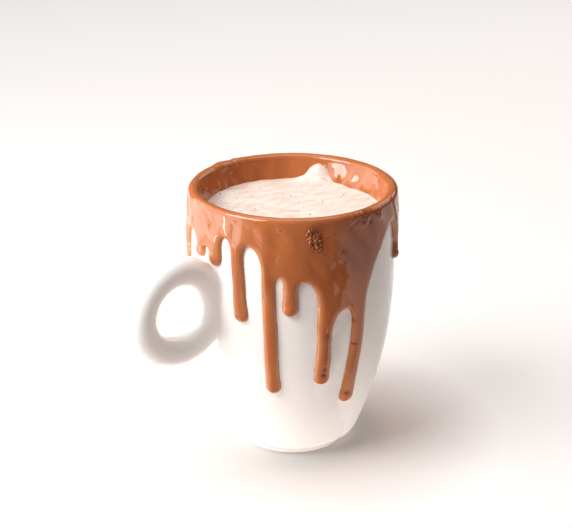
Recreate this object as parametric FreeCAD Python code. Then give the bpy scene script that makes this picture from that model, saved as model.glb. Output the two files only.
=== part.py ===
"""Hot chocolate in a porcelain mug with a ring handle, its rim dipped in milk chocolate that ran down in drips.

Three pieces, in millimetres, +Z up. The origin is the middle of the mug's foot on the table.
The handle points along -X. Angles round the mug run anticlockwise from +X, seen from above.

mug             one porcelain casting: a bellied wall on a low foot ring, with a ring handle fused to it
chocolate_coat  the chocolate that clings to the lip: a skirt inside, the rolled rim, a band and drips outside
drink           the frothy drink up to its level, with the crest that it left against the wall
"""

import FreeCAD
import Part

import math
import os

from FreeCAD import Vector

# Mug wall: two arcs that meet upright at the belly, a heel arc below them and a round lip above.
MUG_HEIGHT = 105.0
BELLY_RADIUS = 39.8
BELLY_HEIGHT = 72.0
SIDE_ARC = 168.0
LIP_ARC = 600.0
HEEL_ARC = 9.0
WALL = 4.0
LIP_WALL = 2.0  # the inside widens towards the lip, so that the wall is thinner there
TAPER_START = 92.0
INNER_HEEL_ARC = 12.0
INNER_FLOOR = 7.5

# Foot ring under the mug.
FOOT_HEIGHT = 1.3
FOOT_OUTER = 20.5
FOOT_INNER = 17.5

# Ring handle: a round bar bent into a ring whose inner side is sunk in the wall.
HANDLE_REACH = 55.0
HANDLE_MIDDLE = 67.0
HANDLE_RING = 16.0
HANDLE_BAR = 5.7
HANDLE_FILLET = 1.6

# Chocolate: its thickness outside, inside and over the lip, and how far the full band reaches below the lip.
COAT_OUTSIDE = 2.0
COAT_INSIDE = 1.3
COAT_OVER_LIP = 1.35
BAND_DEPTH = 8.0
BEAD_SPREAD = 1.1  # a drip's round end, as a share of the drip's width
BEAD_RISE = 0.15  # how far the round end stands off the drip, as a share of its own radius
HANDLE_CLEARANCE = 2.0  # how far the chocolate stops short of the handle's bar

# Each drip: its name, the angle of its middle, its width, the depth of its tip below the lip and its lean,
# in degrees that the tip lies further round. Then the arch after it: its top's angle and depth, and how
# full the arch is, from 0, two straight slopes, to 1, square.
DRIPS = (
    ("silhouette_thread", 146.0, 3.2, 33.0, 0.0, 158.5, 12.5, 0.55),
    ("handle_stub", 171.6, 5.8, 21.0, 0.0, 178.3, 16.0, 0.70),
    ("handle_bulb", 184.8, 6.6, 21.8, 0.0, 192.6, 9.8, 0.65),
    ("left_finger", 200.4, 5.6, 41.6, 2.3, 207.3, 11.2, 0.55),
    ("long_finger", 218.6, 5.6, 71.0, 1.5, 224.8, 22.3, 0.70),
    ("short_finger", 230.4, 5.8, 37.2, 0.0, 237.5, 23.8, 0.55),
    ("right_finger", 249.4, 5.8, 67.3, -0.4, 261.7, 36.5, 0.60),
    ("longest_finger", 270.2, 6.0, 78.2, -2.0, 300.5, 8.8, 0.35),
    ("side_teardrop", 309.0, 4.0, 26.0, 0.0, 325.0, 10.5, 0.50),
    ("back_finger_1", 340.0, 5.6, 46.0, 1.0, 348.5, 14.0, 0.60),
    ("back_stub_1", 355.5, 5.0, 29.0, 0.0, 2.0, 12.5, 0.60),
    ("back_finger_2", 10.5, 6.4, 61.0, -1.0, 19.0, 18.5, 0.50),
    ("back_finger_3", 27.0, 5.2, 37.5, 0.5, 35.5, 11.5, 0.60),
    ("back_finger_4", 46.0, 5.6, 53.0, 1.0, 56.0, 13.0, 0.50),
    ("back_bulb", 65.0, 6.2, 27.5, 0.0, 73.5, 15.0, 0.60),
    ("back_finger_5", 82.0, 5.2, 48.0, -0.5, 91.0, 10.5, 0.55),
    ("back_stub_2", 99.0, 5.8, 33.5, 0.0, 108.0, 12.0, 0.55),
    ("back_finger_6", 119.0, 5.6, 58.0, 0.7, 132.0, 10.5, 0.45),
)

# Drink: its level, how far the chocolate skirt dips into it, and the crest of froth against the back wall.
DRINK_LEVEL = 96.5
SKIRT_DIP = 2.5
CREST_ANGLE = 34.0
CREST_HEIGHT = 6.0
CREST_HALF_WIDTH = 6.5
CREST_DEPTH = 3.2

SIDE_CENTRE = BELLY_RADIUS - SIDE_ARC
LIP_CENTRE = BELLY_RADIUS - LIP_ARC
LIP_START = MUG_HEIGHT - LIP_WALL / 2
OUTSIDE_REACH = 30.0  # how far past the wall a cutting prism runs
OVERLAP = 0.4  # how far neighbouring prisms share an arch's top, so that they join
PRISM_START = BELLY_RADIUS / 3  # where a prism starts, away from the mug's axis
BELOW_DRIPS = 2.0  # how far below the lowest tip the even sleeve begins
BELOW_BEADS = 5.0  # the same for the room that the beads may fill
BEAD_ROOM = 3 * COAT_OUTSIDE  # how far off the wall a bead may stand
ARCH_DROP = 2.0  # the least drop from an arch's top to where its side is upright
ARCH_STEEPNESS = 1.6  # how much further that drop is for each millimetre of the arch's half width
FLANK = 1.0  # the least straight length between an arch and a round tip


def wall_radius(z, offset=0.0):
    """Radius of the wall's outside at height z, moved outwards by offset along the wall's normal."""
    centre, arc = (LIP_CENTRE, LIP_ARC) if z > BELLY_HEIGHT else (SIDE_CENTRE, SIDE_ARC)
    return centre + math.sqrt((arc + offset) ** 2 - (z - BELLY_HEIGHT) ** 2)


def inner_radius(z):
    """Radius of the wall's inside at height z: even with the outside, then straight out to the thin lip."""
    if z <= TAPER_START:
        return wall_radius(z, -WALL)
    start, end = wall_radius(TAPER_START, -WALL), wall_radius(LIP_START) - LIP_WALL
    return start + (end - start) * (z - TAPER_START) / (LIP_START - TAPER_START)


def in_plane(x, z):
    """A point of a profile, in the plane that is turned about Z."""
    return Vector(x, 0, z)


def on_mug(angle, radius, z):
    """The point at an angle round the mug, in degrees."""
    turn = math.radians(angle)
    return Vector(radius * math.cos(turn), radius * math.sin(turn), z)


def line(start, end):
    return Part.makeLine(start, end)


def arc(start, middle, end):
    return Part.Arc(start, middle, end).toShape()


def wall_edges(offset, low, high):
    """The wall's line at an offset from its outside, from height low up to high."""
    edges = []
    for start, end in ((low, min(high, BELLY_HEIGHT)), (max(low, BELLY_HEIGHT), high)):
        if end > start:
            points = [in_plane(wall_radius(z, offset), z) for z in (start, (start + end) / 2, end)]
            edges.append(arc(*points))
    return edges


def heel(offset, heel_arc, floor):
    """Centre of the arc that rounds the side into a flat floor, and the height where it meets the side."""
    side = SIDE_ARC + offset
    rise = BELLY_HEIGHT - floor - heel_arc
    centre_x = SIDE_CENTRE + math.sqrt((side - heel_arc) ** 2 - rise**2)
    meets = BELLY_HEIGHT - rise * side / (side - heel_arc)
    return centre_x, floor + heel_arc, meets


def heel_edge(offset, heel_arc, floor, start_x):
    """The heel's arc from radius start_x, low down, to the side."""
    centre_x, centre_z, meets = heel(offset, heel_arc, floor)
    start = math.atan2(-math.sqrt(heel_arc**2 - (start_x - centre_x) ** 2), start_x - centre_x)
    end = math.atan2(meets - centre_z, wall_radius(meets, offset) - centre_x)
    points = [
        in_plane(centre_x + heel_arc * math.cos(a), centre_z + heel_arc * math.sin(a))
        for a in (start, (start + end) / 2, end)
    ]
    return arc(*points), points[0], meets


def turned(edges):
    """The solid made by turning a closed profile once about Z."""
    face = Part.Face(Part.Wire(Part.__sortEdges__(edges)))
    return face.revolve(Vector(0, 0, 0), Vector(0, 0, 1), 360)


def mug_body():
    """The bellied body on its foot ring, solid inside, with the round lip."""
    heel_arc, heel_start, meets = heel_edge(0, HEEL_ARC, FOOT_HEIGHT, FOOT_OUTER)
    lip_outer = in_plane(wall_radius(LIP_START), LIP_START)
    lip_inner = in_plane(inner_radius(LIP_START), LIP_START)
    lip_top = in_plane((lip_outer.x + lip_inner.x) / 2, MUG_HEIGHT)
    corners = [
        in_plane(0, LIP_START),
        in_plane(0, FOOT_HEIGHT),
        in_plane(FOOT_INNER, FOOT_HEIGHT),
        in_plane(FOOT_INNER, 0),
        in_plane(FOOT_OUTER, 0),
        heel_start,
    ]
    edges = [line(a, b) for a, b in zip(corners, corners[1:])]
    edges.append(heel_arc)
    edges += wall_edges(0, meets, LIP_START)
    edges.append(arc(lip_outer, lip_top, lip_inner))
    edges.append(line(lip_inner, corners[0]))
    return turned(edges)


def hollow(level):
    """What the mug's inside holds up to a level."""
    start_x = heel(-WALL, INNER_HEEL_ARC, INNER_FLOOR)[0]
    heel_arc, heel_start, meets = heel_edge(-WALL, INNER_HEEL_ARC, INNER_FLOOR, start_x)
    top = min(level, LIP_START)
    edges = [line(in_plane(0, level), in_plane(0, INNER_FLOOR)), line(in_plane(0, INNER_FLOOR), heel_start)]
    edges.append(heel_arc)
    edges += wall_edges(-WALL, meets, TAPER_START)
    corner = in_plane(inner_radius(top), top)
    edges.append(line(in_plane(inner_radius(TAPER_START), TAPER_START), corner))
    if level > top:
        edges.append(line(corner, in_plane(corner.x, level)))
        corner = in_plane(corner.x, level)
    edges.append(line(corner, in_plane(0, level)))
    return turned(edges)


def handle_ring(bar):
    """The handle's ring, with a round bar of the given radius."""
    return Part.makeTorus(HANDLE_RING, bar, Vector(-HANDLE_REACH, 0, HANDLE_MIDDLE), Vector(0, 1, 0))


def make_mug():
    """Body and handle as one casting, hollowed, with a small fillet where the ring meets the wall."""
    joined = mug_body().fuse(handle_ring(HANDLE_BAR))
    joints = [e for e in joined.Edges if is_handle_joint(e)]
    joined = joined.makeFillet(HANDLE_FILLET, joints)
    return joined.cut(hollow(MUG_HEIGHT + 1)).Solids[0]


def is_handle_joint(edge):
    """True for an edge where the ring meets the wall: it lies on both."""
    for share in (0.2, 0.5, 0.8):
        at = edge.valueAt(edge.FirstParameter + share * (edge.LastParameter - edge.FirstParameter))
        from_bar = math.hypot(math.hypot(at.x + HANDLE_REACH, at.z - HANDLE_MIDDLE) - HANDLE_RING, at.y)
        if abs(from_bar - HANDLE_BAR) > 0.01 or abs(math.hypot(at.x, at.y) - wall_radius(at.z)) > 0.01:
            return False
    return True


def coat_over_lip(low):
    """Chocolate over the lip: down the outside to low, round the lip, and down inside into the drink."""
    skirt = DRINK_LEVEL - SKIRT_DIP
    edges = []
    for outside, inside, top in (
        (COAT_OUTSIDE, COAT_INSIDE, MUG_HEIGHT + COAT_OVER_LIP),
        (0, 0, MUG_HEIGHT),
    ):
        outer = in_plane(wall_radius(LIP_START, outside), LIP_START)
        inner = in_plane(inner_radius(LIP_START) - inside, LIP_START)
        edges += wall_edges(outside, low, LIP_START)
        edges.append(arc(outer, in_plane((outer.x + inner.x) / 2, top), inner))
        edges.append(line(inner, in_plane(inner_radius(skirt) - inside, skirt)))
    edges.append(line(in_plane(wall_radius(low), low), in_plane(wall_radius(low, COAT_OUTSIDE), low)))
    edges.append(line(in_plane(inner_radius(skirt), skirt), in_plane(inner_radius(skirt) - COAT_INSIDE, skirt)))
    return turned(edges)


def coat_sleeve(low, high, thickness):
    """A sleeve of even thickness all round the outside of the wall, from height low up to high."""
    edges = wall_edges(0, low, high) + wall_edges(thickness, low, high)
    for z in (low, high):
        edges.append(line(in_plane(wall_radius(z), z), in_plane(wall_radius(z, thickness), z)))
    return turned(edges)


def drip_outline(drip, before):
    """A drip seen from outside, in its own upright plane, from the arch before it to the arch after it.

    Each side leaves the top of its arch level, bends upright along the drip and ends in the round tip."""
    _, angle, width, depth, lean, *after = drip
    half = width / 2
    top = MUG_HEIGHT - BAND_DEPTH + OVERLAP
    tip = MUG_HEIGHT - depth
    shift = math.radians(lean) * wall_radius(tip + half)
    edges = []
    for side, (arch_angle, arch_depth, fullness) in ((-1, before), (1, after)):
        turn = math.radians((arch_angle - angle + 180) % 360 - 180)
        crown_z = MUG_HEIGHT - arch_depth
        crown_x = wall_radius(crown_z) * math.sin(turn)
        span = abs(crown_x) - half
        # a wide arch comes down a longer way before its side is upright
        foot_z = max(tip + half + FLANK, crown_z - ARCH_DROP - ARCH_STEEPNESS * span)
        foot_x = side * half
        poles = [
            Vector(crown_x, crown_z, 0),
            Vector(crown_x + fullness * (foot_x - crown_x), crown_z, 0),
            Vector(foot_x, foot_z + fullness * (crown_z - foot_z), 0),
            Vector(foot_x, foot_z, 0),
        ]
        slope = Part.BezierCurve()
        slope.setPoles(poles)
        edge_x = crown_x + side * OVERLAP
        edges.append(line(Vector(0, top, 0), Vector(edge_x, top, 0)))
        edges.append(line(Vector(edge_x, top, 0), Vector(edge_x, crown_z, 0)))
        edges.append(line(Vector(edge_x, crown_z, 0), poles[0]))
        edges.append(slope.toShape())
        edges.append(line(poles[3], Vector(foot_x + shift, tip + half, 0)))
    edges.append(
        arc(
            Vector(shift - half, tip + half, 0),
            Vector(shift, tip, 0),
            Vector(shift + half, tip + half, 0),
        )
    )
    return Part.Wire(Part.__sortEdges__(edges))


def drip_prism(drip, before):
    """The drip's outline carried straight through the wall at its angle."""
    angle = drip[1]
    face = Part.Face(drip_outline(drip, before))
    outwards = on_mug(angle, 1, 0)
    along = Vector(-outwards.y, outwards.x, 0)
    upright = FreeCAD.Matrix(
        along.x, 0, outwards.x, 0,
        along.y, 0, outwards.y, 0,
        0, 1, 0, 0,
        0, 0, 0, 1,
    )  # fmt: skip
    face = face.transformGeometry(upright)
    face.translate(outwards * PRISM_START)
    return face.extrude(outwards * (BELLY_RADIUS + OUTSIDE_REACH - PRISM_START))


def drip_bead(drip):
    """The fuller end of a drip: a ball round the middle of its round tip, sunk in the wall so that it
    stands only a little off the drip."""
    _, angle, width, depth, lean, *_ = drip
    radius = BEAD_SPREAD * width / 2
    z = MUG_HEIGHT - depth + width / 2
    ball = Part.makeSphere(radius)
    ball.rotate(Vector(0, 0, 0), Vector(0, 0, 1), angle + lean + 180)
    ball.translate(on_mug(angle + lean, wall_radius(z) + COAT_OUTSIDE + (BEAD_RISE - 1) * radius, z))
    return ball


def make_coat():
    """The chocolate over the lip, joined with the drips that are cut from an even sleeve, and their beads."""
    band_low = MUG_HEIGHT - BAND_DEPTH
    lowest = MUG_HEIGHT - max(drip[3] for drip in DRIPS)
    sleeve = coat_sleeve(lowest - BELOW_DRIPS, band_low + OVERLAP, COAT_OUTSIDE)
    room_for_beads = coat_sleeve(lowest - BELOW_BEADS, band_low, BEAD_ROOM)
    arches = [drip[5:] for drip in DRIPS]
    drips = []
    for i, drip in enumerate(DRIPS):
        bead = drip_bead(drip).common(room_for_beads)
        drips.append(sleeve.common(drip_prism(drip, arches[i - 1])).fuse(bead))
    handle = handle_ring(HANDLE_BAR + HANDLE_CLEARANCE)
    return coat_over_lip(band_low).multiFuse(drips).cut(handle).removeSplitter()


def make_drink(coat):
    """The drink fills the mug to its level inside the chocolate, with a crest of froth up the wall."""
    crest = Part.makeSphere(1.0)
    stretch = FreeCAD.Matrix()
    stretch.scale(CREST_DEPTH, CREST_HALF_WIDTH, CREST_HEIGHT)
    crest = crest.transformGeometry(stretch)
    crest.rotate(Vector(0, 0, 0), Vector(0, 0, 1), CREST_ANGLE)
    crest.translate(on_mug(CREST_ANGLE, inner_radius(DRINK_LEVEL) - COAT_INSIDE, DRINK_LEVEL))
    crest = crest.common(hollow(MUG_HEIGHT))
    return hollow(DRINK_LEVEL).fuse(crest).cut(coat).removeSplitter()


def one_solid(shape, name):
    """Checks that a piece is a single sound solid."""
    solids = shape.Solids
    print(name, "solids", len(solids), "valid", shape.isValid(), "volume", round(shape.Volume, 1), "mm3")
    return max(solids, key=lambda s: s.Volume)


def main():
    os.makedirs("parts", exist_ok=True)
    mug = one_solid(make_mug(), "mug")
    coat = one_solid(make_coat(), "chocolate_coat")
    drink = one_solid(make_drink(coat), "drink")
    for name, piece in (("mug", mug), ("chocolate_coat", coat), ("drink", drink)):
        piece.exportStep(f"parts/{name}.step")


main()
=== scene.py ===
"""Looks of a hot chocolate in a porcelain mug whose rim was dipped in milk chocolate.

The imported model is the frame: origin in the middle of the mug's foot, +Z up, the handle along -X.
Shapes are worked out in millimetres and turned to metres as they go into their meshes.
Angles round the mug run anticlockwise from +X, seen from above, in degrees unless a name says turn.
"""

import math

import bpy
import numpy as np
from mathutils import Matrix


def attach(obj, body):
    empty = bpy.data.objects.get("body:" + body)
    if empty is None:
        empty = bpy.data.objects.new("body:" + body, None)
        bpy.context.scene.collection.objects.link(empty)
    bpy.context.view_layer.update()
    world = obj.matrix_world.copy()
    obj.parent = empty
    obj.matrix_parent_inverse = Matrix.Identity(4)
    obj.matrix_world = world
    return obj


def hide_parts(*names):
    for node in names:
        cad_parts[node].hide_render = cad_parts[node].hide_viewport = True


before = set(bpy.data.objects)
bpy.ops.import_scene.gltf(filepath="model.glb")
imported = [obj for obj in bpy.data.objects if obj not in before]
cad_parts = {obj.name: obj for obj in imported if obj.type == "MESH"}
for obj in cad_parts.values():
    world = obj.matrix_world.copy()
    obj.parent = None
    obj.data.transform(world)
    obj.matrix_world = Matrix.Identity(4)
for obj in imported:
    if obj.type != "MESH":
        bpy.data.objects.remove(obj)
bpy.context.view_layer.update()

MM = 0.001

# ---------------------------------------------------------------- mug
# The mug is slip-cast porcelain, its ring handle luted on and the whole fired under a clear gloss glaze.
# The glaze lies a little unevenly, which softens reflections.
# The frame's own node has the right shape, so it only gets the glaze.

PORCELAIN = (0.92, 0.905, 0.89, 1)
PORCELAIN_THIN = (0.90, 0.88, 0.86, 1)


def shader_group(name, inputs, outputs):
    """An empty shader node group with named number or colour sockets, and its two end nodes."""
    tree = bpy.data.node_groups.new(name, "ShaderNodeTree")
    for label, kind, value in inputs:
        socket = tree.interface.new_socket(label, in_out="INPUT", socket_type="NodeSocket" + kind)
        socket.default_value = value
    for label, kind in outputs:
        tree.interface.new_socket(label, in_out="OUTPUT", socket_type="NodeSocket" + kind)
    return tree, tree.nodes.new("NodeGroupInput"), tree.nodes.new("NodeGroupOutput")


def unevenness_group():
    """Cloudy unevenness on object coordinates: a slow mask, a fine mask, and their sum as a height."""
    tree, start, end = shader_group(
        "cloudy_unevenness",
        [("Slow Scale", "Float", 60.0), ("Fine Scale", "Float", 900.0), ("Fine Share", "Float", 0.2)],
        [("Slow", "Float"), ("Fine", "Float"), ("Height", "Float")],
    )
    place = tree.nodes.new("ShaderNodeTexCoord")
    masks = []
    for label, detail in (("Slow", 2.0), ("Fine", 3.0)):
        noise = tree.nodes.new("ShaderNodeTexNoise")
        noise.inputs["Detail"].default_value = detail
        tree.links.new(place.outputs["Object"], noise.inputs["Vector"])
        tree.links.new(start.outputs[label + " Scale"], noise.inputs["Scale"])
        tree.links.new(noise.outputs["Fac"], end.inputs[label])
        masks.append(noise.outputs["Fac"])
    height = tree.nodes.new("ShaderNodeMath")
    height.operation = "MULTIPLY_ADD"
    tree.links.new(masks[1], height.inputs[0])
    tree.links.new(start.outputs["Fine Share"], height.inputs[1])
    tree.links.new(masks[0], height.inputs[2])
    tree.links.new(height.outputs[0], end.inputs["Height"])
    return tree


unevenness = unevenness_group()


def new_material(name, settings, slow_scale, fine_scale, fine_share):
    """A material with one Principled BSDF, its fixed settings on its sockets, and the unevenness group."""
    material = bpy.data.materials.new(name)
    material.use_nodes = True
    nodes = material.node_tree.nodes
    shader = nodes["Principled BSDF"]
    for label, value in settings.items():
        shader.inputs[label].default_value = value
    cloudy = nodes.new("ShaderNodeGroup")
    cloudy.node_tree = unevenness
    cloudy.inputs["Slow Scale"].default_value = slow_scale
    cloudy.inputs["Fine Scale"].default_value = fine_scale
    cloudy.inputs["Fine Share"].default_value = fine_share
    return material, shader, cloudy


def ramp(material, source, stops, target):
    """A colour ramp from a mask to a shader's socket. Each stop is a place and a colour or a number."""
    node = material.node_tree.nodes.new("ShaderNodeValToRGB")
    elements = node.color_ramp.elements
    while len(elements) < len(stops):
        elements.new(0.5)
    for element, (place, colour) in zip(elements, stops):
        element.position = place
        element.color = colour if isinstance(colour, tuple) else (colour, colour, colour, 1)
    material.node_tree.links.new(source, node.inputs["Fac"])
    if target:
        material.node_tree.links.new(node.outputs["Color"], target)
    return node.outputs["Color"]


def bump(material, height, distance, strength, target):
    """Feeds a height mask to the shader's normal as a bump of the given depth in metres."""
    node = material.node_tree.nodes.new("ShaderNodeBump")
    node.inputs["Distance"].default_value = distance
    node.inputs["Strength"].default_value = strength
    material.node_tree.links.new(height, node.inputs["Height"])
    material.node_tree.links.new(node.outputs["Normal"], target)


def mix_colours(material, mask, first, second, target=None):
    """Mixes two colours, each a value or a socket, by a mask."""
    node = material.node_tree.nodes.new("ShaderNodeMix")
    node.data_type = "RGBA"
    colour_sockets = [s for s in node.inputs if s.type == "RGBA"]
    for socket, value in zip([node.inputs[0], *colour_sockets], (mask, first, second)):
        if isinstance(value, (tuple, float, int)):
            socket.default_value = value
        else:
            material.node_tree.links.new(value, socket)
    result = [s for s in node.outputs if s.type == "RGBA"][0]
    if target:
        material.node_tree.links.new(result, target)
    return result


glaze, glaze_shader, glaze_cloud = new_material(
    "glazed_porcelain", {"IOR": 1.5, "Roughness": 0.1}, slow_scale=45.0, fine_scale=500.0, fine_share=0.12
)
ramp(glaze, glaze_cloud.outputs["Slow"], [(0.3, PORCELAIN_THIN), (0.5, PORCELAIN)],
     glaze_shader.inputs["Base Color"])
ramp(glaze, glaze_cloud.outputs["Slow"], [(0.3, 0.08), (0.7, 0.13)], glaze_shader.inputs["Roughness"])
bump(glaze, glaze_cloud.outputs["Height"], 0.0004, 0.06, glaze_shader.inputs["Normal"])

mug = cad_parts["mug"]
mug.data.materials.clear()
mug.data.materials.append(glaze)

# ---------------------------------------------------------------- chocolate coat
# The rim was dipped in warm milk chocolate, which set as a glossy coat: over the lip, down inside into the
# drink, and outside in a curtain that ran down in drips. Each drip is thickest at its round end.
# It clings to the wall by itself. One closed piece, which stands for the frame's coat.

LIP_HEIGHT = 105.0
BELLY_RADIUS = 39.8
BELLY_HEIGHT = 72.0
SIDE_ARC = 168.0
LIP_ARC = 600.0
WALL = 4.0
LIP_WALL = 2.0
LIP_START = LIP_HEIGHT - LIP_WALL / 2
TOP_PLACE = LIP_START + math.pi / 2 * LIP_WALL / 2  # the top of the lip, measured along the coat
INSIDE_PLACE = LIP_START + math.pi * LIP_WALL / 2  # where the inside starts
TAPER_START = 92.0
DRINK_LEVEL = 96.5
SKIRT_DIP = 2.5

# Each drip: the angle of its middle, its width, the depth of its tip below the lip, its lean in degrees, the
# neck's share of its width, and how far it wanders. Then the arch after it: angle and depth of its top, and
# how full it is, from 0, two straight slopes, to 1, square.
DRIPS = (
    (146.0, 3.2, 33.0, 0.0, 0.80, 0.1, 158.5, 12.5, 0.55),
    (171.6, 5.8, 21.0, 0.0, 0.92, 0.0, 178.3, 16.0, 0.70),
    (184.8, 6.6, 21.8, 0.0, 0.94, 0.0, 192.6, 9.8, 0.65),
    (200.4, 5.6, 41.6, 2.3, 0.98, 0.1, 207.3, 11.2, 0.55),
    (218.6, 5.6, 71.0, 1.5, 1.02, 0.2, 224.8, 22.3, 0.70),
    (230.4, 5.8, 37.2, 0.0, 0.95, 0.0, 237.5, 23.8, 0.55),
    (249.4, 5.8, 67.3, -0.4, 1.03, 0.3, 261.7, 36.5, 0.60),
    (270.2, 6.0, 78.2, -2.0, 1.00, 0.2, 300.5, 8.8, 0.35),
    (309.0, 4.0, 26.0, 0.0, 0.50, 0.1, 325.0, 10.5, 0.50),
    (340.0, 5.6, 46.0, 1.0, 0.92, 0.3, 348.5, 14.0, 0.60),
    (355.5, 5.0, 29.0, 0.0, 0.90, 0.1, 2.0, 12.5, 0.60),
    (10.5, 6.4, 61.0, -1.0, 0.94, 0.3, 19.0, 18.5, 0.50),
    (27.0, 5.2, 37.5, 0.5, 0.92, 0.2, 35.5, 11.5, 0.60),
    (46.0, 5.6, 53.0, 1.0, 0.96, 0.3, 56.0, 13.0, 0.50),
    (65.0, 6.2, 27.5, 0.0, 0.90, 0.1, 73.5, 15.0, 0.60),
    (82.0, 5.2, 48.0, -0.5, 0.94, 0.2, 91.0, 10.5, 0.55),
    (99.0, 5.8, 33.5, 0.0, 0.92, 0.2, 108.0, 12.0, 0.55),
    (119.0, 5.6, 58.0, 0.7, 0.96, 0.3, 132.0, 10.5, 0.45),
)
BEAD_SPREAD = 1.08
BEAD_RISE = 0.13
COAT_OUTSIDE = 1.85
COAT_AT_RIM = 1.5
COAT_OVER_LIP = 0.85
COAT_INSIDE = 0.75
COAT_AT_DRINK = 2.3
EDGE_ROUNDING = 2.9
SOFT_STOP = 0.3
SLOW_RISE = 0.14
MEDIUM_RISE = 0.12
QUICK_RISE = 0.03
STREAM_RISE = 0.05
PILE_ANGLE = 14.0  # inside, more of it piled up round this angle
PILE_SPREAD = 0.62
PILE_RISE = 1.5
ROOT = -0.9  # the coat's own back lies this far below the porcelain's surface, out of sight
CELL = 0.40
COLUMNS = 640
BLOCK = 4


def wall_arc(z):
    """Centre and radius of the arc that the wall's outside follows at height z."""
    upper = z > BELLY_HEIGHT
    centre = np.where(upper, BELLY_RADIUS - LIP_ARC, BELLY_RADIUS - SIDE_ARC)
    return centre, np.where(upper, LIP_ARC, SIDE_ARC)


def wall_radius(z, offset=0.0):
    """Radius of the wall at height z: arc centre plus the root of (arc + offset)^2 less height^2."""
    centre, arc = wall_arc(z)
    return centre + np.sqrt((arc + offset) ** 2 - (z - BELLY_HEIGHT) ** 2)


def inner_radius(z):
    """Radius of the wall's inside, which runs straight out from the taper's start to the thin lip."""
    start, end = wall_radius(TAPER_START, -WALL), wall_radius(LIP_START) - LIP_WALL
    share = (z - TAPER_START) / (LIP_START - TAPER_START)
    return np.where(z <= TAPER_START, wall_radius(z, -WALL), start + (end - start) * share)


def wall_normal(z):
    """The outward normal of the wall at height z, as its outward part and its upward part."""
    rise = (z - BELLY_HEIGHT) / wall_arc(z)[1]
    return np.sqrt(1 - rise**2), rise


def bezier(poles, count):
    """Points of a cubic curve through four poles: each pole weighted by its share of (t + (1 - t)) cubed."""
    t = np.linspace(0, 1, count)[:, None]
    a, b, c, d = (np.array(p, float) for p in poles)
    return a * (1 - t) ** 3 + 3 * b * t * (1 - t) ** 2 + 3 * c * t**2 * (1 - t) + d * t**3


def smooth_step(x):
    """0 below 0, 1 above 1, and 3x^2 - 2x^3 between."""
    x = np.clip(x, 0, 1)
    return x * x * (3 - 2 * x)


def drip_side(side, drip, arch):
    """One side of a drip in its own upright plane, from the arch's top down to the end of the straight flank.

    The arch comes down as a cubic curve, level at its top and upright at its foot. Below the foot the half
    width narrows to the neck and swells to the round end, and the middle leans and wanders as a sine."""
    angle, width, depth, lean, neck, wander = drip[:6]
    arch_angle, arch_depth, fullness = arch
    half = width / 2
    end_z = LIP_HEIGHT - depth + half
    turn = math.radians((arch_angle - angle + 180) % 360 - 180)
    crown_z = LIP_HEIGHT - arch_depth
    crown_x = wall_radius(crown_z) * math.sin(turn)
    foot_z = max(end_z + 1.0, crown_z - 2.0 - 1.6 * (abs(crown_x) - half))
    foot_x = side * half
    arch_line = bezier(
        [
            (crown_x, crown_z),
            (crown_x + fullness * (foot_x - crown_x), crown_z),
            (foot_x, foot_z + fullness * (crown_z - foot_z)),
            (foot_x, foot_z),
        ],
        24,
    )
    z = np.linspace(foot_z, end_z, 26)[1:]
    down = (foot_z - z) / (foot_z - end_z)
    swell = smooth_step(1 - (z - end_z) / (2.6 * half))
    waist = np.sin(np.pi * np.clip(down, 0, 1) ** 0.8) * (1 - swell)
    half_here = half * (1 + (BEAD_SPREAD - 1) * swell - (1 - neck) * waist)
    shift = math.radians(lean) * wall_radius(end_z) * down
    shift = shift + wander * np.sin(down * 2 * np.pi + angle) * np.sin(np.pi * down)
    return np.vstack([arch_line, np.column_stack([side * half_here + shift, z])])


def drip_line(drip, before, after):
    """A drip's whole edge: down its left side, round its end as a half circle, and up its right side."""
    angle, width, depth, lean = drip[:4]
    left, right = drip_side(-1, drip, before), drip_side(1, drip, after)
    middle = (left[-1] + right[-1]) / 2
    radius = BEAD_SPREAD * width / 2
    sweep = np.linspace(math.pi, 2 * math.pi, 22)[1:-1]
    end = middle + radius * np.column_stack([np.cos(sweep), np.sin(sweep)])
    line = np.vstack([left, end, right[::-1]])
    turn = math.radians(angle) + np.arcsin(line[:, 0] / wall_radius(line[:, 1]))
    return turn, line[:, 1], middle, radius


arches = [drip[6:] for drip in DRIPS]
lines = [drip_line(drip, arches[i - 1], arches[i]) for i, drip in enumerate(DRIPS)]


def distance_to_edge(x, z, line_x, line_z):
    """Signed distance from each point to a line, above it positive, and the nearest point on the line.

    Each stretch's nearest point is its start plus the clamped share of the dot product along it."""
    ax, az = line_x[:-1], line_z[:-1]
    dx, dz = np.diff(line_x), np.diff(line_z)
    px, pz = x[:, None] - ax, z[:, None] - az
    share = np.clip((px * dx + pz * dz) / (dx * dx + dz * dz + 1e-12), 0, 1)
    off = (px - share * dx) ** 2 + (pz - share * dz) ** 2
    best = off.argmin(1)
    row = np.arange(len(x))
    side = np.sign(dx[best] * pz[row, best] - dz[best] * px[row, best])
    share = share[row, best]
    return side * np.sqrt(off[row, best]), ax[best] + share * dx[best], az[best] + share * dz[best]


def swells(turn, height, seed, count, waves, rise):
    """Slow unevenness, about -1 to 1: a sum of sines of whole waves round the mug and of the height."""
    draw = np.random.default_rng(seed)
    total = 0.0
    for _ in range(count):
        around = draw.integers(waves[0], waves[1]) * draw.choice([-1, 1])
        total = total + np.sin(around * turn + draw.normal(0, rise) * height + draw.uniform(0, 2 * np.pi))
    return total / math.sqrt(count)


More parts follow.
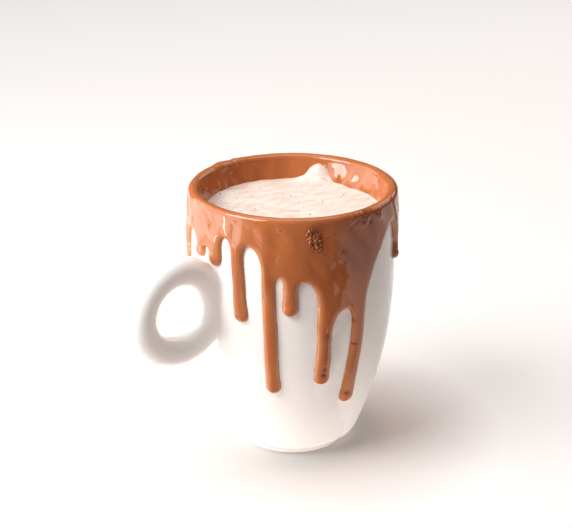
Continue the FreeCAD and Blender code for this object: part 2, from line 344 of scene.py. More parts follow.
# Rows of the grid, from below the lowest drip up the outside, over the lip and down inside.
lowest = LIP_HEIGHT - max(drip[2] for drip in DRIPS) - 2
band_rows = np.arange(LIP_HEIGHT - 8.0, LIP_START, 0.6)
outer_z = np.concatenate([np.arange(lowest, band_rows[0] - 0.01, CELL), band_rows])
lip_turn = np.linspace(0, math.pi, 15)
inner_z = np.linspace(LIP_START, DRINK_LEVEL - SKIRT_DIP, 17)[1:]
spare = (1 - (len(outer_z) + len(lip_turn) + len(inner_z))) % BLOCK
outer_z = np.concatenate([lowest - CELL * np.arange(spare, 0, -1), outer_z])
ROWS = len(outer_z) + len(lip_turn) + len(inner_z)
OUTER = len(outer_z)

grid_turn = np.tile(np.linspace(0, 2 * math.pi, COLUMNS, endpoint=False), (ROWS, 1))
edge = np.full((ROWS, COLUMNS), 20.0)  # distance in from the coat's edge
outer_height = np.tile(outer_z[:, None], (1, COLUMNS))
stream = np.zeros((ROWS, COLUMNS))  # 1 along the middle of a drip and of the stream above it
bead = np.full((ROWS, COLUMNS), -9.0)  # height of the round end's ball over the porcelain
starts = [math.radians(arches[i - 1][0]) for i in range(len(DRIPS))]
for i, drip in enumerate(DRIPS):
    middle_turn = math.radians(drip[0])
    span = (starts[(i + 1) % len(DRIPS)] - starts[i]) % (2 * math.pi)
    own = ((grid_turn[0] - starts[i]) % (2 * math.pi)) < span
    near = [lines[i - 1], lines[i], lines[(i + 1) % len(DRIPS)]]
    line_turn = np.concatenate([n[0] for n in near])
    line_z = np.concatenate([n[1] for n in near])
    line_x = wall_radius(line_z) * np.sin(line_turn - middle_turn)
    z = outer_height[:, own].ravel()
    x = (wall_radius(outer_height[:, own]) * np.sin(grid_turn[:OUTER, own] - middle_turn)).ravel()
    inside, near_x, near_z = distance_to_edge(x, z, line_x, line_z)
    snap = (inside >= 0) & (inside < 0.75 * CELL)
    z = np.where(snap, near_z, z)
    x = np.where(snap, near_x, x)
    inside = np.where(snap, 0.0, inside)
    shape = (OUTER, own.sum())
    rows = np.ix_(np.arange(OUTER), own)
    edge[rows] = inside.reshape(shape)
    outer_height[rows] = z.reshape(shape)
    grid_turn[rows] = (middle_turn + np.arcsin(x / wall_radius(z))).reshape(shape)
    end, radius = lines[i][2], lines[i][3]
    drift = np.interp(z, [end[1], end[1] + 40], [end[0], 0])
    along = smooth_step((LIP_HEIGHT - 4 - z) / 14)
    stream[rows] = (np.exp(-(((x - drift) / (0.55 * drip[1])) ** 2)) * along).reshape(shape)
    over = radius**2 - (x - end[0]) ** 2 - (z - end[1]) ** 2
    ball = np.sqrt(np.clip(over, 0, None)) - radius + COAT_OUTSIDE + BEAD_RISE * radius
    bead[rows] = np.where(over > 0, ball, -9.0).reshape(shape)

outer_radius = wall_radius(outer_height)
outer_out, outer_up = wall_normal(outer_height)
lip_outer, lip_inner = wall_radius(LIP_START), inner_radius(LIP_START)
lip_middle, lip_half = (lip_outer + lip_inner) / 2, (lip_outer - lip_inner) / 2
column = np.ones((1, COLUMNS))
taper = math.atan2(lip_inner - inner_radius(TAPER_START), LIP_START - TAPER_START)
inner_out, inner_up = np.full(len(inner_z), math.cos(taper)), np.full(len(inner_z), -math.sin(taper))
wall_r = np.vstack([outer_radius, (lip_middle + lip_half * np.cos(lip_turn))[:, None] * column,
                    inner_radius(inner_z)[:, None] * column])
wall_z = np.vstack([outer_height, (LIP_START + LIP_WALL / 2 * np.sin(lip_turn))[:, None] * column,
                    inner_z[:, None] * column])
normal_r = np.vstack([outer_out, np.cos(lip_turn)[:, None] * column, -inner_out[:, None] * column])
normal_z = np.vstack([outer_up, np.sin(lip_turn)[:, None] * column, -inner_up[:, None] * column])

# Single things in the coat, each with its angle, its place along the coat, its radii round and along, its
# rise off the coat, and how much darker it is. A place is a height outside, and runs on over the lip.
# In the dents, the darkness is painted shade.
SWELLINGS = (
    (243.0, 103.2, 3.4, 2.0, 0.40, 0.0),
    # a hollow under the crumbs, its darkness painted shade in it
    (242.8, 98.2, 2.6, 3.6, -0.25, 0.75),
    (228.0, 92.0, 9.0, 6.0, 0.25, 0.0),
    (256.0, 88.0, 5.0, 3.5, 0.25, 0.0),
    (266.0, 79.0, 4.0, 5.5, 0.22, 0.0),
    # pits: small dents, their darkness painted shade in them
    (249.5, 45.2, 0.75, 1.3, -0.40, 0.8),
    (249.2, 42.9, 0.80, 0.8, -0.35, 0.9),
    (250.3, 59.0, 0.70, 1.1, -0.25, 0.6),
    (265.8, 63.5, 0.60, 1.0, -0.40, 0.8),
    (267.2, 53.7, 1.20, 0.6, -0.40, 0.8),
    (266.3, 31.8, 1.30, 0.6, -0.35, 0.7),
    (258.4, 93.0, 0.60, 0.6, -0.30, 0.7),
    (309.5, 81.0, 2.4, 2.2, 0.15, 0.6),
    # painted shade: this row has no rise and only darkens the right side, away from the light; the next row
    # darkens the rim on the right
    (268.0, 91.0, 11.0, 13.0, 0.0, 0.30),
    (271.0, 103.0, 9.0, 2.2, 0.0, 0.50),
)


def scattered_swellings():
    """Seeded clumps on the right of the rim, and broad lumps on the back of it."""
    draw = np.random.default_rng(8)
    rows = []
    for _ in range(36):
        rows.append((draw.uniform(261, 286), draw.uniform(101.0, 104.8), draw.uniform(0.6, 1.2),
                     draw.uniform(0.6, 1.0), draw.uniform(-0.25, 0.50), draw.uniform(0.3, 0.95)))
    for _ in range(9):
        rows.append((draw.uniform(84, 111), LIP_START + draw.uniform(0.4, 2.4), draw.uniform(1.2, 2.4),
                     draw.uniform(1.4, 2.2), draw.uniform(0.15, 0.3), 0.0))
    return rows


# Thickness: even along each stretch, rounded off towards the edge as a quarter ellipse, fuller along the
# streams and at the round ends, and uneven as poured chocolate is.
plain = np.concatenate([
    np.interp(outer_z, [LIP_HEIGHT - 12, LIP_START], [COAT_OUTSIDE, COAT_AT_RIM]),
    np.interp(np.cos(lip_turn), [-1, 0, 1], [COAT_INSIDE, COAT_OVER_LIP, COAT_AT_RIM]),
    np.interp(inner_z, [DRINK_LEVEL - 1, LIP_START], [COAT_AT_DRINK, COAT_INSIDE]),
])[:, None]
over_lip = LIP_START + lip_turn * LIP_WALL / 2
path = np.concatenate([outer_z, over_lip, INSIDE_PLACE + LIP_START - inner_z])[:, None]
slow = swells(grid_turn, path, 3, 16, (7, 20), 0.16)
medium = swells(grid_turn, path, 6, 14, (18, 34), 0.35)
quick = swells(grid_turn, path, 4, 20, (30, 60), 0.6)
on_lip = np.exp(-(((path - TOP_PLACE) / 2.6) ** 2))
calm = np.clip(1.4 - np.abs(path - 96) / 45, 0.3, 1.0) * (1 - 0.9 * on_lip)
from_pile = (grid_turn - math.radians(PILE_ANGLE) + math.pi) % (2 * math.pi) - math.pi
pile = smooth_step((path - INSIDE_PLACE + 1) / 8) * np.exp(-((from_pile / PILE_SPREAD) ** 2))
uneven = SLOW_RISE * slow + MEDIUM_RISE * medium + QUICK_RISE * quick
thickness = plain + uneven * calm + STREAM_RISE * stream
thickness = thickness + pile * (PILE_RISE + 0.15 * medium)
# shade: how far the colour goes to CHOCOLATE_DARK, painted shade in the dents and over the right side, and
# the darker colour of crumbs and specks
shade = np.zeros((ROWS, COLUMNS))
for angle, place, around, along, rise, darkness in [*SWELLINGS, *scattered_swellings()]:
    off = (grid_turn - math.radians(angle) + math.pi) % (2 * math.pi) - math.pi
    spot = np.exp(-((off * BELLY_RADIUS / around) ** 2) - ((path - place) / along) ** 2)
    thickness += rise * spot
    shade = np.maximum(shade, darkness * spot)

# A second sheet ran down over the first on the far right, and its edge stands up as a fold.
fold_line = np.radians(np.interp(path, [94, 104], [304.5, 300.0]))
past_fold = (grid_turn - fold_line) * BELLY_RADIUS
fold_share = smooth_step((path - 93) / 3) * smooth_step((TOP_PLACE + 0.6 - path) / 2)
fold = smooth_step(past_fold / 0.9) * np.exp(-np.clip(past_fold, 0, None) / 7)
thickness += (0.55 * fold - 0.25 * np.exp(-((past_fold / 0.8) ** 2))) * fold_share * (np.abs(past_fold) < 30)
# Nowhere thicker than the room round the mug: above that the thickness levels off as a hyperbolic tangent.
room = np.concatenate([
    BELLY_RADIUS + 1.95 - wall_radius(outer_z),
    np.minimum(2.5, (LIP_HEIGHT + 1.25 - LIP_START) / np.maximum(np.sin(lip_turn), 0.1) - LIP_WALL / 2),
    np.full(len(inner_z), 4.2),
])[:, None]
spill = np.clip(thickness - room + SOFT_STOP, 0, None)
thickness = thickness - spill + SOFT_STOP * np.tanh(spill / SOFT_STOP)
rounding = np.clip(edge / EDGE_ROUNDING, 0, 1)
height = thickness * np.sqrt(1 - (1 - rounding) ** 2)
blend = 0.5
gap = np.clip(blend - np.abs(height - bead), 0, None)
height = np.maximum(height, bead) + gap**2 / (4 * blend)
height = np.where(edge <= 0, 0.0, height)
height = np.where(edge < 0, ROOT, height)
height[-1] = ROOT
height[-2] = np.minimum(height[-2], 0.6)

inside_mask = edge >= 0
blocks_r, blocks_c = (ROWS - 1) // BLOCK, COLUMNS // BLOCK
wrapped = np.hstack([inside_mask, inside_mask[:, :1]])
kept = np.zeros((blocks_r, blocks_c), bool)
for down in range(BLOCK + 1):
    for across in range(BLOCK + 1):
        kept |= wrapped[down : down + blocks_r * BLOCK : BLOCK, across : across + blocks_c * BLOCK : BLOCK][
            :blocks_r, :blocks_c
        ]
cells = np.repeat(np.repeat(kept, BLOCK, 0), BLOCK, 1)

number = np.arange(ROWS * COLUMNS).reshape(ROWS, COLUMNS)
next_number = np.roll(number, -1, 1)
front = np.stack([number[:-1], next_number[:-1], next_number[1:], number[1:]], -1)[cells]

# The back: each kept block is one face through every point of its rim, so that it meets the front's edge.
rim_down = [0] * BLOCK + list(range(BLOCK)) + [BLOCK] * BLOCK + list(range(BLOCK, 0, -1))
rim_across = list(range(BLOCK)) + [BLOCK] * BLOCK + list(range(BLOCK, 0, -1)) + [0] * BLOCK
block_row, block_column = np.nonzero(kept)
back_row = block_row[:, None] * BLOCK + np.array(rim_down)
back_column = (block_column[:, None] * BLOCK + np.array(rim_across)) % COLUMNS
touched = np.zeros((ROWS, COLUMNS), int)
for down in (0, 1):
    for across in (0, 1):
        touched[down : ROWS - 1 + down] += np.roll(cells, across, 1)
open_edge = (touched > 0) & (touched < 4)
back_number = np.where(open_edge, number, number + ROWS * COLUMNS)
back = back_number[back_row, back_column][:, ::-1]


def on_wall(offset):
    """Points of the grid at an offset from the porcelain, along the wall's normal."""
    radius = wall_r + normal_r * offset
    return np.stack([radius * np.cos(grid_turn), radius * np.sin(grid_turn), wall_z + normal_z * offset], -1)


def make_piece(name, points, faces, material, attributes=None):
    """A smooth mesh piece from points in millimetres and faces, riding on the one body of the part."""
    used, faces_in_use = np.unique(np.concatenate([np.ravel(f) for f in faces]), return_inverse=True)
    polygons, at = [], 0
    for face_set in faces:
        size = face_set.size
        polygons += faces_in_use[at : at + size].reshape(face_set.shape).tolist()
        at += size
    mesh = bpy.data.meshes.new(name)
    mesh.from_pydata((points[used] * MM).tolist(), [], polygons)
    mesh.shade_smooth()
    for label, values in (attributes or {}).items():
        attribute = mesh.attributes.new(label, "FLOAT", "POINT")
        attribute.data.foreach_set("value", values[used].astype(np.float32))
    mesh.materials.append(material)
    piece = bpy.data.objects.new(name, mesh)
    bpy.context.scene.collection.objects.link(piece)
    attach(piece, "root")
    return piece


# CHOCOLATE_DARK is what the shade attribute mixes in: painted shade in the dents and over the right side, and
# the darker colour of crumbs, specks and motes
CHOCOLATE_DARK = (0.16, 0.035, 0.012, 1)
CHOCOLATE_DEEP = (0.41, 0.120, 0.040, 1)
CHOCOLATE = (0.465, 0.144, 0.049, 1)
CHOCOLATE_THIN = (0.62, 0.285, 0.130, 1)

chocolate, chocolate_shader, chocolate_cloud = new_material(
    "milk_chocolate",
    {"IOR": 1.5, "Roughness": 0.05},
    slow_scale=55.0,
    fine_scale=1400.0,
    fine_share=0.08,
)


def attribute_mask(material, label):
    """The values that a piece's mesh keeps under a label."""
    node = material.node_tree.nodes.new("ShaderNodeAttribute")
    node.attribute_name = label
    return node.outputs["Fac"]


clouded = ramp(chocolate, chocolate_cloud.outputs["Slow"], [(0.3, CHOCOLATE_DEEP), (0.62, CHOCOLATE)], None)
full_bodied = mix_colours(chocolate, attribute_mask(chocolate, "body"), CHOCOLATE_THIN, clouded)
mix_colours(chocolate, attribute_mask(chocolate, "shade"), full_bodied, CHOCOLATE_DARK,
            chocolate_shader.inputs["Base Color"])
ramp(chocolate, chocolate_cloud.outputs["Fine"], [(0.3, 0.03), (0.7, 0.07)],
     chocolate_shader.inputs["Roughness"])
bump(chocolate, chocolate_cloud.outputs["Height"], 0.0003, 0.04, chocolate_shader.inputs["Normal"])

coat_points = np.concatenate([on_wall(height).reshape(-1, 3), on_wall(ROOT).reshape(-1, 3)])
body = np.clip(0.35 + 0.65 * rounding * 1.3, 0, 1).ravel()
coat = make_piece("chocolate_coat_poured", coat_points, [front, back], chocolate,
                  {"body": np.tile(body, 2), "shade": np.tile(shade.ravel(), 2)})
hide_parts("chocolate_coat")

# ---------------------------------------------------------------- drink
# The drink is frothy milk chocolate, poured up to its level. Its fine froth lies in soft folds, climbs the
# wall a little all round, and was pushed up against the back wall in one crest. It just fills the mug.

CREST_ANGLE = 34.0
CREST_HEIGHT = 6.1
INNER_FLOOR = 7.5
INNER_HEEL = 12.0
FROTH_RINGS = 90
FROTH_SPOKES = 360
RING_EASE = 0.8  # below 1, the rings lie closer together towards the edge

froth_edge = float(inner_radius(DRINK_LEVEL)) - 1.0
ring_share = np.linspace(0, 1, FROTH_RINGS)[:, None] ** RING_EASE
spoke_turn = np.linspace(0, 2 * math.pi, FROTH_SPOKES, endpoint=False)[None, :]
froth_r = froth_edge * ring_share * np.ones((1, FROTH_SPOKES))
froth_x, froth_y = froth_r * np.cos(spoke_turn), froth_r * np.sin(spoke_turn)
crest_turn = math.radians(CREST_ANGLE)
crest_along = -froth_x * math.sin(crest_turn) + froth_y * math.cos(crest_turn)
crest_out = froth_x * math.cos(crest_turn) + froth_y * math.sin(crest_turn)
crest_bell = np.exp(-((np.abs(crest_along) / 6.4) ** 1.7))
crest_back = np.clip(froth_edge - crest_out, 0, None)
crest = CREST_HEIGHT * crest_bell * np.exp(-((crest_back / 4.4) ** 1.5)) * (crest_out > 0)


def plane_swells(x, y, seed, count, spacing):
    """Slow unevenness of a plane, about -1 to 1: a sum of sine waves in seeded directions."""
    draw = np.random.default_rng(seed)
    total = 0.0
    for _ in range(count):
        way, length = draw.uniform(0, 2 * np.pi), spacing * draw.uniform(0.7, 1.6)
        along = (x * np.cos(way) + y * np.sin(way)) * 2 * np.pi / length
        total = total + np.sin(along + draw.uniform(0, 6.3))
    return total / math.sqrt(count)


meniscus = 0.7 * np.exp(-(froth_edge - froth_r) / 0.8)
folds = 0.10 * plane_swells(froth_x, froth_y, 21, 9, 18.0)
folds = folds + 0.03 * plane_swells(froth_x, froth_y, 22, 14, 4.0)
# Soft folds, each an arc of a circle: its centre, its radius, how far round it runs, and its height.
for middle_x, middle_y, radius, start, length, rise in (
    (12.0, 16.0, 27.0, 195, 95, 0.30),
    (20.0, 10.0, 38.0, 175, 70, 0.26),
    (4.0, 2.0, 15.0, 150, 130, 0.22),
    (-6.0, 26.0, 30.0, 230, 85, 0.20),
):
    arc_turn = np.degrees(np.arctan2(froth_y - middle_y, froth_x - middle_x)) % 360
    across = np.hypot(froth_x - middle_x, froth_y - middle_y) - radius
    reach = smooth_step((arc_turn - start) / 18) * smooth_step((start + length - arc_turn) / 18)
    folds = folds + rise * reach * np.exp(-np.abs(across) / np.where(across > 0, 0.7, 2.2))
froth_z = DRINK_LEVEL + folds * np.clip((froth_edge - froth_r) / 3, 0.2, 1) + meniscus + crest
side_z = np.concatenate([np.linspace(DRINK_LEVEL - 1, 26, 16), np.linspace(22, INNER_FLOOR + 0.5, 6)])
side_r = np.array([float(wall_radius(z, -WALL + 0.3)) for z in side_z])
heel_drop = np.clip((INNER_FLOOR + INNER_HEEL - side_z) / INNER_HEEL, 0, 1)
side_r = side_r - INNER_HEEL * 0.8 * (1 - np.sqrt(1 - heel_drop**2))
side_rows = side_r[:, None] * np.ones((1, FROTH_SPOKES))
drink_r = np.vstack([froth_r[1:], side_rows])
drink_z = np.vstack([froth_z[1:], side_z[:, None] * np.ones((1, FROTH_SPOKES))])
drink_turn = np.tile(spoke_turn, (len(drink_r), 1))
rows_d, count_d = drink_r.shape
drink_points = np.stack([drink_r * np.cos(drink_turn), drink_r * np.sin(drink_turn), drink_z], -1)
drink_points = drink_points.reshape(-1, 3)
drink_points = np.vstack([drink_points, [0, 0, froth_z[0].mean()], [0, 0, INNER_FLOOR]])
drink_number = np.arange(rows_d * count_d).reshape(rows_d, count_d)
drink_next = np.roll(drink_number, -1, 1)
drink_sides = np.stack([drink_number[1:], drink_next[1:], drink_next[:-1], drink_number[:-1]], -1)
drink_sides = drink_sides.reshape(-1, 4)
top_fan = np.stack([np.full(count_d, rows_d * count_d), drink_number[0], drink_next[0]], -1)
floor_fan = np.stack([np.full(count_d, rows_d * count_d + 1), drink_next[-1], drink_number[-1]], -1)

# cocoa: how much darker chocolate is mixed into the froth, from 0 to 1
froth_turn = np.degrees(np.arctan2(froth_y, froth_x)) % 360
from_edge = froth_edge - froth_r
streaks = plane_swells(froth_x * 0.5, froth_y * 1.6, 31, 16, 6.0)
rings = np.sin(froth_r * 1.1 + 2.2 * plane_swells(froth_x, froth_y, 33, 6, 22.0))
left_side = smooth_step((froth_turn - 130) / 30) * smooth_step((270 - froth_turn) / 30)
back_side = smooth_step((froth_turn - 40) / 12) * smooth_step((104 - froth_turn) / 16)
cocoa = 0.08 + 0.13 * streaks + 0.16 * np.clip(rings, 0, 1) * left_side + 0.45 * np.exp(-from_edge / 0.8)
cocoa = cocoa + 0.45 * back_side * np.exp(-from_edge / 2.6) + 0.10 * crest_bell * (crest_out > 24)
streak_turn, streak_out = (froth_turn - 328 + 180) % 360 - 180, froth_r - 31.6
cocoa = cocoa + 0.9 * np.exp(-((streak_turn / 3.4) ** 2) - ((streak_out - 0.12 * streak_turn) / 0.5) ** 2)
cocoa = np.clip(cocoa, 0, 1)
cocoa_all = np.concatenate([cocoa[1:].ravel(), np.full(side_rows.size, 0.6), [cocoa[0].mean(), 0.6]])

FROTH = (0.78, 0.695, 0.64, 1)
FROTH_TAN = (0.60, 0.27, 0.13, 1)
froth, froth_shader, froth_cloud = new_material(
    "milk_froth",
    {"IOR": 1.35, "Roughness": 0.35, "Subsurface Weight": 0.2, "Subsurface Radius": (1.0, 0.6, 0.4),
     "Subsurface Scale": 0.002},
    slow_scale=120.0,
    fine_scale=2200.0,
    fine_share=0.5,
)
mix_colours(froth, attribute_mask(froth, "cocoa"), FROTH, FROTH_TAN, froth_shader.inputs["Base Color"])
ramp(froth, froth_cloud.outputs["Fine"], [(0.3, 0.25), (0.7, 0.45)], froth_shader.inputs["Roughness"])
bump(froth, froth_cloud.outputs["Height"], 0.0002, 0.25, froth_shader.inputs["Normal"])

drink = make_piece(
    "frothy_drink", drink_points, [drink_sides, top_fan, floor_fan], froth, {"cocoa": cocoa_all}
)
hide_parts("drink")

# ---------------------------------------------------------------- crumbs, bubbles and specks
# A few crumbs and burst bubbles are stuck in the outside of the coat, small bubbles dried on its inside, and
# cocoa specks and fine bubbles float on the froth. Each lies half sunk in what holds it.

BALL_RINGS = 4
BALL_SPOKES = 7


def unit_ball():
    """A closed ball of radius 1: rings at height cos(p) and distance out sin(p), and a point at each pole."""
    polar = np.linspace(0, math.pi, BALL_RINGS + 2)[1:-1, None]
    turn = np.linspace(0, 2 * math.pi, BALL_SPOKES, endpoint=False)[None, :]
    out = np.sin(polar)
    rings = np.stack([out * np.cos(turn), out * np.sin(turn), np.cos(polar) + 0 * turn], -1)
    points = np.vstack([rings.reshape(-1, 3), [[0, 0, 1], [0, 0, -1]]])
    index = np.arange(BALL_RINGS * BALL_SPOKES).reshape(BALL_RINGS, BALL_SPOKES)
    following = np.roll(index, -1, 1)
    quads = np.stack([index[1:], following[1:], following[:-1], index[:-1]], -1).reshape(-1, 4)
    top = np.stack([np.full(BALL_SPOKES, len(points) - 2), index[0], following[0]], -1)
    low = np.stack([np.full(BALL_SPOKES, len(points) - 1), following[-1], index[-1]], -1)
    return points, quads, np.vstack([top, low])


def grains(name, centres, normals, radii, flatness, roughness, seed, material, labels):
    """Many small lumps as one piece: each a ball, dented by a seeded share, flattened along its normal."""
    draw = np.random.default_rng(seed)
    points, quads, triangles = unit_ball()
    count, size = len(centres), len(points)
    up = normals / np.linalg.norm(normals, axis=1, keepdims=True)
    side = np.cross(up, draw.normal(size=(count, 3)))
    side /= np.linalg.norm(side, axis=1, keepdims=True)
    other = np.cross(up, side)
    dents = 1 + roughness * draw.uniform(-1, 1, (count, size, 1))
    local = points[None] * dents * radii[:, None, None] * np.array([1, 1, flatness])
    place = local[..., :1] * side[:, None] + local[..., 1:2] * other[:, None] + local[..., 2:] * up[:, None]
    place = (place + centres[:, None]).reshape(-1, 3)
    shift = (np.arange(count) * size)[:, None, None]
    faces = [(quads[None] + shift).reshape(-1, 4), (triangles[None] + shift).reshape(-1, 3)]
    attributes = {label: np.full(len(place), value) for label, value in labels.items()}
    return make_piece(name, place, faces, material, attributes)


def on_coat(angle, place):
    """Points of the coat's surface and its outward normals, at angles and heights outside."""
    turn = np.radians(angle)
    row = np.interp(place, path[:OUTER, 0], np.arange(OUTER))
    row = np.clip(np.round(row).astype(int), 0, OUTER - 1)
    column = np.round(turn / (2 * math.pi) * COLUMNS).astype(int) % COLUMNS
    out = wall_radius(place) + height[row, column]
    normals = np.stack([np.cos(turn), np.sin(turn), 0 * turn], -1)
    return np.stack([out * np.cos(turn), out * np.sin(turn), place], -1), normals


draw = np.random.default_rng(51)
CRUMBS = 110
CLUMP_ANGLE = 242.8
CLUMP_PLACE = 98.2
crumb_way, crumb_far = draw.uniform(0, 2 * math.pi, CRUMBS), np.sqrt(draw.uniform(0, 1, CRUMBS))
crumb_place = CLUMP_PLACE + 4.5 * crumb_far * np.sin(crumb_way)
crumb_angle = CLUMP_ANGLE + 3.9 * crumb_far * np.cos(crumb_way) - 0.35 * (crumb_place - CLUMP_PLACE)
crumb_centres, crumb_normals = on_coat(crumb_angle, crumb_place)
crumb_sizes = draw.uniform(0.30, 0.80, CRUMBS) * (1.15 - 0.5 * crumb_far)
crumb_centres = crumb_centres + crumb_normals * draw.uniform(-0.1, 0.35, (CRUMBS, 1))
pale_crumbs = draw.uniform(0, 1, CRUMBS) < 0.35
for name, chosen, darkness in (("cocoa_crumbs", ~pale_crumbs, 0.55), ("chocolate_crumbs", pale_crumbs, 0.05)):
    grains(name, crumb_centres[chosen], crumb_normals[chosen], crumb_sizes[chosen], 0.8, 0.2, 52, chocolate,
           {"body": 0.8, "shade": darkness})

FRONT_SPECKS = 26
ROUND_SPECKS = 30
speck_angle = np.concatenate([draw.uniform(205, 285, FRONT_SPECKS), draw.uniform(0, 360, ROUND_SPECKS)])
speck_place = np.concatenate([draw.uniform(80, 101, FRONT_SPECKS), draw.uniform(97, 102, ROUND_SPECKS)])
speck_centres, speck_normals = on_coat(speck_angle, speck_place)
speck_sizes = draw.uniform(0.12, 0.30, FRONT_SPECKS + ROUND_SPECKS)
grains("coat_specks", speck_centres, speck_normals, speck_sizes, 0.7, 0.1, 53, chocolate,
       {"body": 1.0, "shade": 0.6})

inner_angle = np.concatenate([[128.0, 96.0, 121.0], draw.uniform(0, 360, 24), draw.uniform(320, 350, 8)])
inner_turn = np.radians(inner_angle)
inner_place = np.concatenate([[100.8, 101.5, 99.6], draw.uniform(98.2, 102.5, 32)])
inner_cover = np.interp(inner_place, [DRINK_LEVEL - 1, LIP_START], [COAT_AT_DRINK, COAT_INSIDE])
inner_out = inner_radius(inner_place) - inner_cover
inner_centres = np.stack([inner_out * np.cos(inner_turn), inner_out * np.sin(inner_turn), inner_place], -1)
inner_normals = np.stack([-np.cos(inner_turn), -np.sin(inner_turn), 0 * inner_turn], -1)
inner_sizes = np.concatenate([[1.1, 0.8, 0.6], draw.uniform(0.25, 0.6, 32)])
grains("wall_bubbles", inner_centres, inner_normals, inner_sizes, 0.45, 0.03, 54, chocolate,
       {"body": 0.6, "shade": 0.0})


def on_froth(out, turn):
    """Points of the froth's surface at distances from the middle and angles, with upright normals."""
    ring = np.round((out / froth_edge) ** (1 / RING_EASE) * (FROTH_RINGS - 1)).astype(int)
    spoke = np.round(turn / (2 * math.pi) * FROTH_SPOKES).astype(int) % FROTH_SPOKES
    points = np.stack([out * np.cos(turn), out * np.sin(turn), froth_z[ring, spoke]], -1)
    return points, np.tile([0.0, 0.0, 1.0], (len(out), 1))


OPEN_BUBBLES = 130
EDGE_BUBBLES = 190
BUBBLES = OPEN_BUBBLES + EDGE_BUBBLES
open_out = froth_edge * np.sqrt(draw.uniform(0.05, 0.95, OPEN_BUBBLES))
bubble_out = np.concatenate([open_out, draw.uniform(29, 33.2, EDGE_BUBBLES)])
bubble_turn = draw.uniform(0, 2 * math.pi, BUBBLES)
bubble_centres, bubble_normals = on_froth(bubble_out, bubble_turn)
bubble_sizes = 0.14 + 0.30 * draw.uniform(0, 1, BUBBLES) ** 3
grains("froth_bubbles", bubble_centres - bubble_normals * 0.03, bubble_normals, bubble_sizes, 0.6, 0.02, 55,
       froth, {"cocoa": 0.10})

MOTES = 210
mote_out = froth_edge * np.sqrt(draw.uniform(0.02, 0.93, MOTES))
mote_centres, mote_normals = on_froth(mote_out, draw.uniform(0, 6.28, MOTES))
mote_sizes = 0.11 + 0.24 * draw.uniform(0, 1, MOTES) ** 2
grains("cocoa_motes", mote_centres, mote_normals, mote_sizes, 0.5, 0.25, 56,
       chocolate, {"body": 1.0, "shade": 0.5})

# ---------------------------------------------------------------- floor, light and camera
# A plain pale tabletop that runs out of sight, a large soft light and a low window on the left, fill light
# from behind, and a long lens. Only the stage is lit this way: nothing here belongs to the mug.

VIEW_AZIMUTH = -38.0
VIEW_ELEVATION = 21.98
VIEW_DISTANCE = 609.5
AIM_SIDE = -2.69
AIM_HEIGHT = 72.66
LENS = 97.57


def round_table(side_angle, distance, height):
    """A point at an angle to the right of the camera's side, at a distance from the mug and a height."""
    turn = math.radians(VIEW_AZIMUTH - 90 + side_angle)
    return np.array([distance * math.cos(turn), distance * math.sin(turn), height])


floor_half = 4000.0
corners = np.array([[-1, -1, 0], [1, -1, 0], [1, 1, 0], [-1, 1, 0]]) * floor_half
floor_mesh = bpy.data.meshes.new("tabletop")
floor_mesh.from_pydata((corners * MM).tolist(), [], [[0, 1, 2, 3]])
floor = bpy.data.objects.new("tabletop", floor_mesh)
bpy.context.scene.collection.objects.link(floor)
paper, paper_shader, _ = new_material(
    "pale_tabletop",
    {"Roughness": 0.75, "Specular IOR Level": 0.2},
    slow_scale=4.0,
    fine_scale=300.0,
    fine_share=0.1,
)
BLACK = (0, 0, 0, 1)
TABLETOP = (0.93, 0.925, 0.92, 1)
TABLETOP_SEEN = (0.52, 0.51, 0.505, 1)
GLOW_UNDER = (0.16, 0.11, 0.09, 1)
GLOW_NEAR = (0.44, 0.405, 0.395, 1)  # the glow evens the tabletop out, as paper lit from all round looks
GLOW_FAR = (0.52, 0.515, 0.51, 1)
GLOW_BOUNCE = (1.15, 1.05, 1.00, 1)  # light thrown up on to the mug by the tabletop close round it
TABLETOP_BOUNCE = (0.50, 0.44, 0.415, 1)  # what it throws on to the mug
TABLETOP_FRONT = (0.05, 0.035, 0.03, 1)  # in front of the mug the room is dark in the mug's gloss
DARK_WEDGE = 47.0  # half the wedge's angle
RAGGED = 1.5  # how far patches break up its edge


def dark_wedge(material):
    """1 inside a wedge of floor in front of the mug: the dot product with its middle over the distance."""
    nodes, links = material.node_tree.nodes, material.node_tree.links
    place = nodes.new("ShaderNodeTexCoord")
    way = nodes.new("ShaderNodeVectorMath")
    way.operation = "NORMALIZE"
    links.new(place.outputs["Object"], way.inputs[0])
    dot = nodes.new("ShaderNodeVectorMath")
    dot.operation = "DOT_PRODUCT"
    links.new(way.outputs["Vector"], dot.inputs[0])
    patches = nodes.new("ShaderNodeTexNoise")
    patches.inputs["Scale"].default_value = 19.0
    patches.inputs["Detail"].default_value = 2.0
    links.new(place.outputs["Object"], patches.inputs["Vector"])
    ragged = nodes.new("ShaderNodeMath")
    ragged.operation = "MULTIPLY_ADD"
    ragged.inputs[1].default_value = RAGGED
    links.new(patches.outputs["Fac"], ragged.inputs[0])
    links.new(dot.outputs["Value"], ragged.inputs[2])
    front = math.radians(VIEW_AZIMUTH - 90)
    dot.inputs[1].default_value = (math.cos(front), math.sin(front), 0)
    halved = nodes.new("ShaderNodeMath")
    halved.operation = "MULTIPLY"
    halved.inputs[1].default_value = 0.5
    links.new(ragged.outputs[0], halved.inputs[0])
    edge_at = (math.cos(math.radians(DARK_WEDGE)) + RAGGED / 2) / 2
    return ramp(material, halved.outputs[0], [(edge_at - 0.01, 0.0), (edge_at + 0.01, 1.0)], None)


path_of_light = paper.node_tree.nodes.new("ShaderNodeLightPath")
in_gloss = mix_colours(paper, dark_wedge(paper), TABLETOP, TABLETOP_FRONT)
seen_plain = mix_colours(paper, path_of_light.outputs["Is Diffuse Ray"], TABLETOP_SEEN, TABLETOP_BOUNCE)
spot = paper.node_tree.nodes.new("ShaderNodeTexCoord")
far_away = paper.node_tree.nodes.new("ShaderNodeVectorMath")
far_away.operation = "LENGTH"
paper.node_tree.links.new(spot.outputs["Object"], far_away.inputs[0])
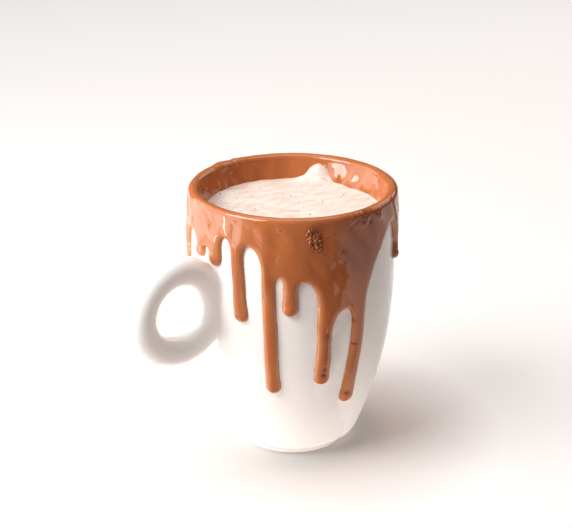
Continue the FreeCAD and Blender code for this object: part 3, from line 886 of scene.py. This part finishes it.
# Each stop: metres from the axis, and the glow there.
glow_stops = [(0.027, BLACK), (0.040, GLOW_UNDER), (0.085, GLOW_NEAR), (0.7, GLOW_FAR)]
glow = ramp(paper, far_away.outputs["Value"], glow_stops, None)
thrown = ramp(paper, far_away.outputs["Value"], [(0.05, GLOW_BOUNCE), (0.15, BLACK)], None)
thrown = mix_colours(paper, path_of_light.outputs["Is Diffuse Ray"], BLACK, thrown)
mix_colours(paper, path_of_light.outputs["Is Camera Ray"], thrown, glow,
            paper_shader.inputs["Emission Color"])
paper_shader.inputs["Emission Strength"].default_value = 1.0
mix_colours(paper, path_of_light.outputs["Is Glossy Ray"], seen_plain, in_gloss,
            paper_shader.inputs["Base Color"])
floor_mesh.materials.append(paper)


def aim(thing, place, target):
    """Puts a lamp or the camera at a place, in millimetres, looking at a target."""
    way = np.array(target, float) - place
    thing.location = place * MM
    flat = math.hypot(way[0], way[1])
    tilt = math.pi / 2 + math.atan2(way[2], flat)
    thing.rotation_euler = (tilt, 0, math.atan2(way[1], way[0]) - math.pi / 2)


def soft_lamp(name, side_angle, distance, height, size, power, colour, target_height=60):
    """A rectangular lamp of the given width and height, in millimetres, that looks at the mug's axis."""
    light = bpy.data.lights.new(name, "AREA")
    light.shape = "RECTANGLE"
    light.size, light.size_y = size[0] * MM, size[1] * MM
    light.energy = power
    light.color = colour
    lamp = bpy.data.objects.new(name, light)
    bpy.context.scene.collection.objects.link(lamp)
    lamp.visible_camera = False
    aim(lamp, round_table(side_angle, distance, height), (0, 0, target_height))
    return lamp


soft_lamp("soft_box_left", -60, 760, 820, (680, 520), 13.0, (1.0, 0.985, 0.965))
soft_lamp("low_window_left", -94, 330, 222, (520, 430), 2.0, (1.0, 0.985, 0.965), 222)
strip = soft_lamp("window_gap_left", -68, 170, 50, (13, 100), 0.08, (1.0, 0.97, 0.93), 50)
strip.visible_diffuse = False  # it shows only as a line of light in the gloss
soft_lamp("fill_right", 135, 1100, 700, (1100, 600), 3.6, (1.0, 0.84, 0.75))
soft_lamp("soft_box_above", 170, 150, 1100, (800, 800), 4.0, (1.0, 0.97, 0.945))

ROOM = (1.0, 0.985, 0.975, 1)
ROOM_LIGHT = (0.08, 0.073, 0.069, 1)
world = bpy.data.worlds.new("pale_room")
world.use_nodes = True
bpy.context.scene.world = world
backdrop = world.node_tree.nodes["Background"]
backdrop.inputs["Strength"].default_value = 1.0
eye = world.node_tree.nodes.new("ShaderNodeLightPath")
mix_colours(world, eye.outputs["Is Camera Ray"], ROOM_LIGHT, ROOM, backdrop.inputs["Color"])

camera_data = bpy.data.cameras.new("camera")
camera_data.lens = LENS
camera_data.sensor_width = 36.0
camera_data.clip_end = 20.0
camera = bpy.data.objects.new("camera", camera_data)
bpy.context.scene.collection.objects.link(camera)
side_turn = math.radians(VIEW_AZIMUTH)
aim_point = np.array([AIM_SIDE * math.cos(side_turn), AIM_SIDE * math.sin(side_turn), AIM_HEIGHT])
reach = VIEW_DISTANCE * math.cos(math.radians(VIEW_ELEVATION))
rise = VIEW_DISTANCE * math.sin(math.radians(VIEW_ELEVATION))
aim(camera, aim_point + round_table(0, reach, rise), aim_point)
bpy.context.scene.camera = camera
bpy.context.scene.view_settings.view_transform = "Standard"
